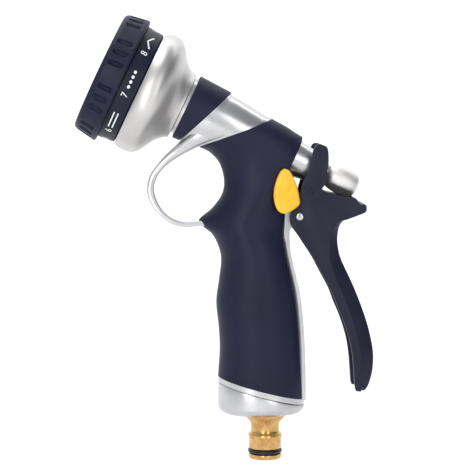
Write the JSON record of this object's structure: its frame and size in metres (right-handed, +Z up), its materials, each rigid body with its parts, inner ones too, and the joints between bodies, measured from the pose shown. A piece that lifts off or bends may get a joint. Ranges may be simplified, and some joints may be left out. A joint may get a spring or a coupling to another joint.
{
  "type": "hose spray nozzle",
  "caption": "Rear-trigger garden hose nozzle with a turning pattern dial, soft covers, flow knob, hold-open latch, finger loop and a push-fit hose tail",
  "frame": {"origin": "centre of the end face of the hose tail", "axes": "+Z runs up the tail and the grip, the spray leaves towards -X and upwards, the trigger is on the +X side, Y is across the grip"},
  "size_m": [0.1397, 0.0612, 0.2091],
  "materials": {
    "body_casting": "satin",
    "neck_cover": "matte",
    "grip_cover": "matte",
    "end_cap": "satin",
    "tail_connector": "turned",
    "tail_o_ring": "matte",
    "inlet_washer": "matte",
    "inlet_filter": "matte",
    "head_bell": "satin",
    "head_manifold": "matte",
    "manifold_o_ring": "matte",
    "port_seal": "matte",
    "detent_spring": "drawn",
    "detent_ball": "polished",
    "dial_screw": "plain",
    "valve_seat": "turned",
    "stem_bush": "turned",
    "stem_o_rings": "matte",
    "stem_wiper": "matte",
    "pivot_pin": "plain",
    "pivot_clip": "plain",
    "trigger_lever": "satin",
    "valve_stem": "ground",
    "valve_plug": "turned",
    "valve_seal": "matte",
    "plug_nut": "plain",
    "spring_clip": "plain",
    "return_spring": "drawn",
    "thrust_washer": "plain",
    "knob_insert": "turned",
    "flow_knob": "satin",
    "knob_lock_screw": "plain",
    "latch_shaft": "plain",
    "latch_paddle_left": "smooth",
    "latch_paddle_right": "smooth",
    "latch_screw": "plain",
    "dial_body": "matte",
    "dial_grip_ring": "matte",
    "dial_face": "matte",
    "dial_gasket": "matte",
    "jet_insert": "turned",
    "cone_insert": "turned",
    "mist_insert": "turned",
    "screw_cap": "matte"
  },
  "bodies": {
    "body": {"body_casting": "body_casting", "neck_cover": "neck_cover", "grip_cover": "grip_cover", "end_cap": "end_cap", "tail_connector": "tail_connector", "tail_o_ring": "tail_o_ring", "inlet_washer": "inlet_washer", "inlet_filter": "inlet_filter", "head_bell": "head_bell", "head_manifold": "head_manifold", "manifold_o_ring": "manifold_o_ring", "port_seal": "port_seal", "detent_spring": "detent_spring", "detent_ball": "detent_ball", "dial_screw": "dial_screw", "valve_seat": "valve_seat", "stem_bush": "stem_bush", "stem_o_rings": "stem_o_rings", "stem_wiper": "stem_wiper", "pivot_pin": "pivot_pin", "pivot_clip": "pivot_clip"},
    "trigger": {"trigger_lever": "trigger_lever"},
    "stem": {"valve_stem": "valve_stem", "valve_plug": "valve_plug", "valve_seal": "valve_seal", "plug_nut": "plug_nut", "spring_clip": "spring_clip", "return_spring": "return_spring", "thrust_washer": "thrust_washer"},
    "knob": {"knob_insert": "knob_insert", "flow_knob": "flow_knob", "knob_lock_screw": "knob_lock_screw"},
    "latch": {"latch_shaft": "latch_shaft", "latch_paddle_left": "latch_paddle_left", "latch_paddle_right": "latch_paddle_right", "latch_screw": "latch_screw"},
    "dial": {"dial_body": "dial_body", "dial_grip_ring": "dial_grip_ring", "dial_face": "dial_face", "dial_gasket": "dial_gasket", "jet_insert": "jet_insert", "cone_insert": "cone_insert", "mist_insert": "mist_insert", "screw_cap": "screw_cap"}
  },
  "joints": [
    {"name": "trigger_pivot", "type": "hinge", "parent": "body", "child": "trigger", "pos_m": [0.01542, 0, 0.11583], "axis": [0, 1, 0], "range_deg": [0, 14], "stiffness_Nm_per_rad": 2, "springref_deg": -17.19},
    {"name": "stem_slide", "type": "slide", "parent": "body", "child": "stem", "axis": [0.9026, 0, -0.4305], "range_m": [0, 0.006], "deforming": ["return_spring"]},
    {"name": "knob_turn", "type": "hinge", "parent": "stem", "child": "knob", "pos_m": [0, 0, 0.149], "axis": [0.9026, 0, -0.4305], "range_deg": [-180, 180]},
    {"name": "latch_swing", "type": "hinge", "parent": "body", "child": "latch", "pos_m": [0.0116, 0, 0.122], "axis": [0, 1, 0], "range_deg": [0, 30]},
    {"name": "dial_turn", "type": "hinge", "parent": "body", "child": "dial", "pos_m": [-0.00086, 0, 0.14719], "axis": [-0.9026, 0, 0.4305], "continuous": true}
  ],
  "couplings": [
    {"joint": "stem_slide", "follows": "trigger_pivot", "m_per_rad": 0.0233}
  ]
}
